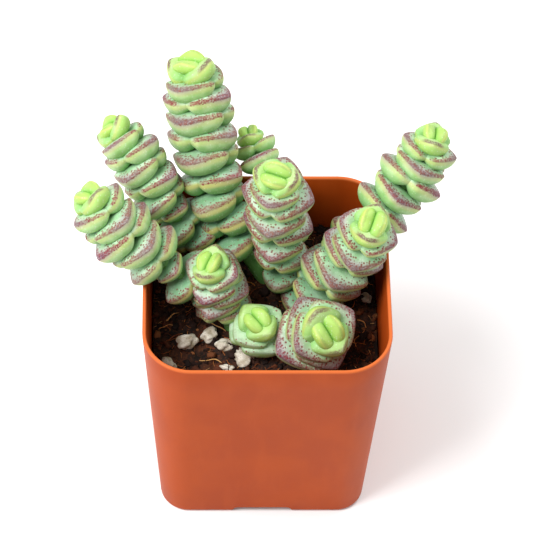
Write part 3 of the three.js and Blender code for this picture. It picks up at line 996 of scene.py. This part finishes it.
# %% Crumbs and fibres to scatter
CRUMB_DENT = 0.9
CRUMB_FLATNESS = 0.6
FIBRE_STEPS = 9
FIBRE_SIDES = 4
FIBRE_THICKNESS = 0.028
LITTER_KINDS = 5


def crumb(name, seed):
    """A broken bit of peat or bark with a few dozen faces."""
    shape = bmesh.new()
    bmesh.ops.create_icosphere(shape, subdivisions=2, radius=1.0)
    for vert in shape.verts:
        dent = noise.noise(vert.co * 1.7 + Vector((seed, 0, 0)))
        vert.co *= 1 + CRUMB_DENT * dent
        vert.co.z *= CRUMB_FLATNESS
    made = mesh_piece(name, [], [], keep=False)
    shape.to_mesh(made.data)
    shape.free()
    return made


def fibre(name, seed):
    """A short, thin, curling strand of coir, one unit long."""
    rings = []
    for i in range(FIBRE_STEPS):
        t = i / (FIBRE_STEPS - 1)
        x = t - 0.5
        y = 0.16 * math.sin(3.2 * t + seed) + 0.05 * math.sin(9 * t + 2 * seed)
        z = 0.10 * math.sin(2.6 * t + 1.7 * seed)
        r = FIBRE_THICKNESS * (0.35 + 0.65 * math.sin(math.pi * min(1.0, 0.15 + 0.8 * t)))
        turns = [2 * math.pi * j / FIBRE_SIDES for j in range(FIBRE_SIDES)]
        rings.append([(x, y + r * math.cos(a), z + r * math.sin(a)) for a in turns])
    return mesh_piece(name, *skin(rings[0][0], rings, rings[-1][0]), keep=False)


crumb_shelf = bpy.data.collections.new("crumbs")
fibre_shelf = bpy.data.collections.new("fibres")
for number in range(LITTER_KINDS):
    crumb_shelf.objects.link(crumb(f"crumb_{number}", number * 3.7))
    fibre_shelf.objects.link(fibre(f"fibre_{number}", number * 1.9))

# %% Tree that scatters them
CRUMB_DENSITY = 4.3e5
FIBRE_DENSITY = 3.4e5
TOP_FROM = 0.02 * MM
WALL_ALLOWANCE = 0.6 * MM
CRUMB_SIZES = (0.14 * MM, 1.3 * MM)
FIBRE_LENGTHS = (1.2 * MM, 6.5 * MM)


def scattered(web, ground, shelf, density, sizes, lie, reach, seed):
    """Pieces of a collection spread over the top of the ground, kept small beside the pot's wall."""
    room = web.node("GeometryNodeInputNamedAttribute", {"data_type": "FLOAT"}, {"Name": "room"})
    settings = {"data_type": "FLOAT", "operation": "GREATER_THAN"}
    on_top = web.node("FunctionNodeCompare", settings, {0: room, 1: TOP_FROM})
    settings = {"distribute_method": "RANDOM"}
    sockets = {"Mesh": ground, "Selection": on_top, "Density": density, "Seed": seed}
    points = web.node("GeometryNodeDistributePointsOnFaces", settings, sockets)
    index = web.node("GeometryNodeInputIndex")
    luck = random_float(web, 0.0, 1.0, index, seed + 5)
    points = stored(web, points, "chance", luck)
    roll = random_float(web, 0.0, 2 * math.pi, index, seed + 1)
    tip_x = random_float(web, -lie, lie, index, seed + 2)
    tip_y = random_float(web, -lie, lie, index, seed + 3)
    angles = web.node("ShaderNodeCombineXYZ", sockets={0: tip_x, 1: tip_y, 2: roll})
    size = random_float(web, 0.0, 1.0, index, seed + 4) ** 2.2 * (sizes[1] - sizes[0]) + sizes[0]
    size = size.smaller((room + WALL_ALLOWANCE) * reach)
    info = {"Collection": shelf, "Separate Children": True, "Reset Children": True}
    kinds = web.node("GeometryNodeCollectionInfo", sockets=info)
    pick = random_float(web, 0.0, LITTER_KINDS - 0.01, index, seed + 6).floor()
    rotation = web.node("FunctionNodeEulerToRotation", sockets={0: angles})
    sockets = {"Points": points, "Instance": kinds, "Pick Instance": True, "Instance Index": pick}
    sockets |= {"Rotation": rotation, "Scale": size}
    placed = web.node("GeometryNodeInstanceOnPoints", sockets=sockets)
    return web.node("GeometryNodeRealizeInstances", sockets={0: placed})


def soil_tree(material):
    inputs = {"Crumbs": "Collection", "Fibres": "Collection"}
    inputs |= {"Crumb Density": "Float", "Fibre Density": "Float"}
    tree, web, given = new_tree("soil_litter", inputs)
    ground = given["Geometry"]
    grains = scattered(web, ground, given["Crumbs"], given["Crumb Density"], CRUMB_SIZES, 1.2, 0.8, 40)
    strands = scattered(web, ground, given["Fibres"], given["Fibre Density"], FIBRE_LENGTHS, 0.6, 1.7, 60)
    body = stored(web, stored(web, ground, "kind", 0.0), "chance", 0.2)
    grains = stored(web, grains, "kind", 1.0)
    strands = stored(web, strands, "kind", 2.0)
    joined = web.node("GeometryNodeJoinGeometry")
    for part in (body, grains, strands):
        web.tree.links.new(part.socket, joined.socket.node.inputs[0])
    whole = web.node("GeometryNodeRealizeInstances", sockets={0: joined})
    whole = web.node("GeometryNodeSetShadeSmooth", sockets={"Geometry": whole, "Shade Smooth": True})
    whole = web.node("GeometryNodeSetMaterial", sockets={"Geometry": whole, "Material": material})
    web.node("NodeGroupOutput", sockets={0: whole})
    return tree


# %% [markdown]
# ## The soil's colours
#
# Damp peat is almost black. Bits of bark are dark brown, and coir fibres run from rust to straw. The scatter
# tree stores what each bit is, and a random number for each, and the material turns them into colours.

# %% Soil material and scatter


def make_soil_look():
    material, web, shader = new_material("damp_potting_mix", Specular_IOR_Level=0.25)
    place = web.node("ShaderNodeTexCoord", out=3)
    kind = web.attribute("kind")
    chance = web.attribute("chance")
    patches = noise_at(web, place, 240.0, 4.0)
    grit = noise_at(web, place, 1600.0, 3.0)
    peat = web.mix(patches.rise(0.42, 0.7), rgb(26, 17, 13), rgb(70, 38, 22))
    peat = web.mix(grit.rise(0.5, 0.75) * 0.6, peat, rgb(104, 58, 30))
    bark_stops = [(0.0, rgb(24, 15, 12)), (0.5, rgb(40, 22, 15))]
    bark_stops += [(0.85, rgb(86, 44, 24)), (1.0, rgb(140, 88, 50))]
    bark = web.node("ShaderNodeValToRGB", {"stops": bark_stops}, {0: chance})
    coir_stops = [(0.0, rgb(60, 28, 14)), (0.5, rgb(118, 58, 26))]
    coir_stops += [(0.8, rgb(176, 108, 52)), (1.0, rgb(214, 164, 104))]
    coir = web.node("ShaderNodeValToRGB", {"stops": coir_stops}, {0: chance})
    tone = web.mix(kind.rise(0.4, 0.6), peat, bark)
    tone = web.mix(kind.rise(1.4, 1.6), tone, coir)
    plug(web, shader, "Base Color", tone)
    plug(web, shader, "Roughness", 0.75 + grit * 0.2)
    bump = web.node("ShaderNodeBump", sockets={"Strength": 0.6, "Distance": 0.0003, "Height": grit})
    plug(web, shader, "Normal", bump)
    return material


soil_look = make_soil_look()
litter = soil.modifiers.new("litter", "NODES")
litter.node_group = soil_tree(soil_look)
densities = {"Crumbs": crumb_shelf, "Fibres": fibre_shelf}
densities |= {"Crumb Density": CRUMB_DENSITY, "Fibre Density": FIBRE_DENSITY}
for label, value in densities.items():
    set_input(litter, label, value)
soil = plain_copy(soil, "potting_soil")
for shelf in (crumb_shelf, fibre_shelf):
    for helper in list(shelf.objects):
        bpy.data.objects.remove(helper)
    bpy.data.collections.remove(shelf)
hand_over(soil, "soil")
print("soil with litter:", len(soil.data.polygons), "faces")

# %% [markdown]
# ## The stones
#
# A few pale pumice stones lie in the surface. Each is a ball with dents and flats, stretched and turned as in
# the imported model, with finer dents added. Their skin is a warm grey, and their pits are painted darker as
# painted shade in the hollows.

# %% Stones
STONES = {
    "stone_large": ((-18.2, -8.2), (2.3, 1.7, 1.5), 20),
    "stone_front_left": ((-22.6, -14.6), (1.3, 2.0, 1.0), 35),
    "stone_under_left": ((-13, -6.2), (2.0, 1.6, 1.1), 60),
    "stone_under_middle": ((-9.6, -9.3), (1.9, 1.6, 1.2), 10),
    "stone_front_flat": ((-9, -15.8), (1.5, 0.8, 0.7), -10),
    "stone_front_middle": ((-5.2, -12.6), (2.1, 2.3, 1.3), 30),
    "stone_front_small": ((1.4, -17.2), (1.7, 1.1, 0.9), 0),
    "stone_right": ((24, 4.6), (1.1, 1.3, 1.0), 15),
}


def make_pumice():
    material, web, shader = new_material("pale_pumice", Specular_IOR_Level=0.3)
    place = web.node("ShaderNodeTexCoord", out=3)
    patches = noise_at(web, place, 500.0, 5.0)
    pits = web.node("ShaderNodeTexVoronoi", {"feature": "F1"}, {"Vector": place, "Scale": 2200.0})
    tone = web.mix(patches.rise(0.35, 0.68), rgb(158, 146, 124), rgb(216, 210, 196))
    # Painted shade: the pits are painted a darker brown for the shade in the hollows.
    tone = web.mix((1.0 - pits.rise(0.1, 0.3)) * 0.6, tone, rgb(96, 78, 58))
    plug(web, shader, "Base Color", tone)
    plug(web, shader, "Roughness", 0.78 + patches * 0.15)
    bump = web.node("ShaderNodeBump", sockets={"Strength": 0.5, "Distance": 0.0002, "Height": pits + patches})
    plug(web, shader, "Normal", bump)
    return material


def make_stone(name, at, size, turn):
    shape = bmesh.new()
    bmesh.ops.create_icosphere(shape, subdivisions=5, radius=1.0)
    (x0, y0), (sx, sy, sz) = at, size
    z0 = soil_height(x0 * MM, y0 * MM) / MM + 0.25 * sz
    c, s = math.cos(math.radians(turn)), math.sin(math.radians(turn))
    for vert in shape.verts:
        x, y, z = vert.co
        r = 1 + 0.13 * math.sin(3.1 * x + 5.3 * y + x0) + 0.11 * math.sin(4.7 * z - 3.9 * x + y0)
        r += 0.05 * noise.fractal(vert.co * 1.4 + Vector((x0, y0, 0)), 1.1, 2.2, 4)
        r *= (abs(x) ** 3 + abs(y) ** 3 + abs(z) ** 3) ** (-1 / 6)
        ex, ey, ez = x * r * sx, y * r * sy, z * r * sz
        vert.co = Vector((x0 + ex * c - ey * s, y0 + ex * s + ey * c, z0 + ez)) * MM
    piece = mesh_piece("pumice_" + name, [], [])
    shape.to_mesh(piece.data)
    shape.free()
    for polygon in piece.data.polygons:
        polygon.use_smooth = True
    return piece


pumice = make_pumice()
for name, (at, size, turn) in STONES.items():
    stone = make_stone(name, at, size, turn)
    stone.data.materials.append(pumice)
    hand_over(stone, name)
print("stones:", len(STONES))

# %% [markdown]
# ## Floor and light
#
# The photograph is a product picture on white: a pale floor and light from all round, a little stronger from
# above and from the left. A white world gives the even light and the pale glints on the pot's rounded
# corners, and two large soft lamps give the plant its shape.

# %% Floor, world and lamps
FLOOR_HALF = 2.0
SKY_STRENGTH = 0.6
LAMP_AIM = (0, 0, 0.06)
LAMP_SIZE = 0.35
LAMPS = {"lamp_above_left": ((-0.35, -0.15, 0.6), 5.5), "lamp_behind_right": ((0.4, 0.35, 0.5), 2.5)}


def make_floor():
    h = FLOOR_HALF
    floor = mesh_piece("floor", [(-h, -h, 0), (h, -h, 0), (h, h, 0), (-h, h, 0)], [(0, 1, 2, 3)])
    material, _, _ = new_material("white_floor", Base_Color=(0.93, 0.93, 0.93, 1), Roughness=0.9)
    floor.data.materials.append(material)
    return floor


def soft_lamp(name, spot, power):
    data = bpy.data.lights.new(name, "AREA")
    data.shape = "SQUARE"
    data.size = LAMP_SIZE
    data.energy = power
    lamp = bpy.data.objects.new(name, data)
    bpy.context.scene.collection.objects.link(lamp)
    lamp.location = spot
    lamp.rotation_euler = (Vector(LAMP_AIM) - Vector(spot)).to_track_quat("-Z", "Y").to_euler()
    return lamp


make_floor()
world = bpy.data.worlds.new("white_studio")
bpy.context.scene.world = world
world.use_nodes = True
sky = world.node_tree.nodes["Background"]
sky.inputs["Color"].default_value = (1, 1, 1, 1)
sky.inputs["Strength"].default_value = SKY_STRENGTH
for name, (spot, power) in LAMPS.items():
    soft_lamp(name, spot, power)
bpy.context.scene.view_settings.view_transform = "Standard"
print("studio ready")
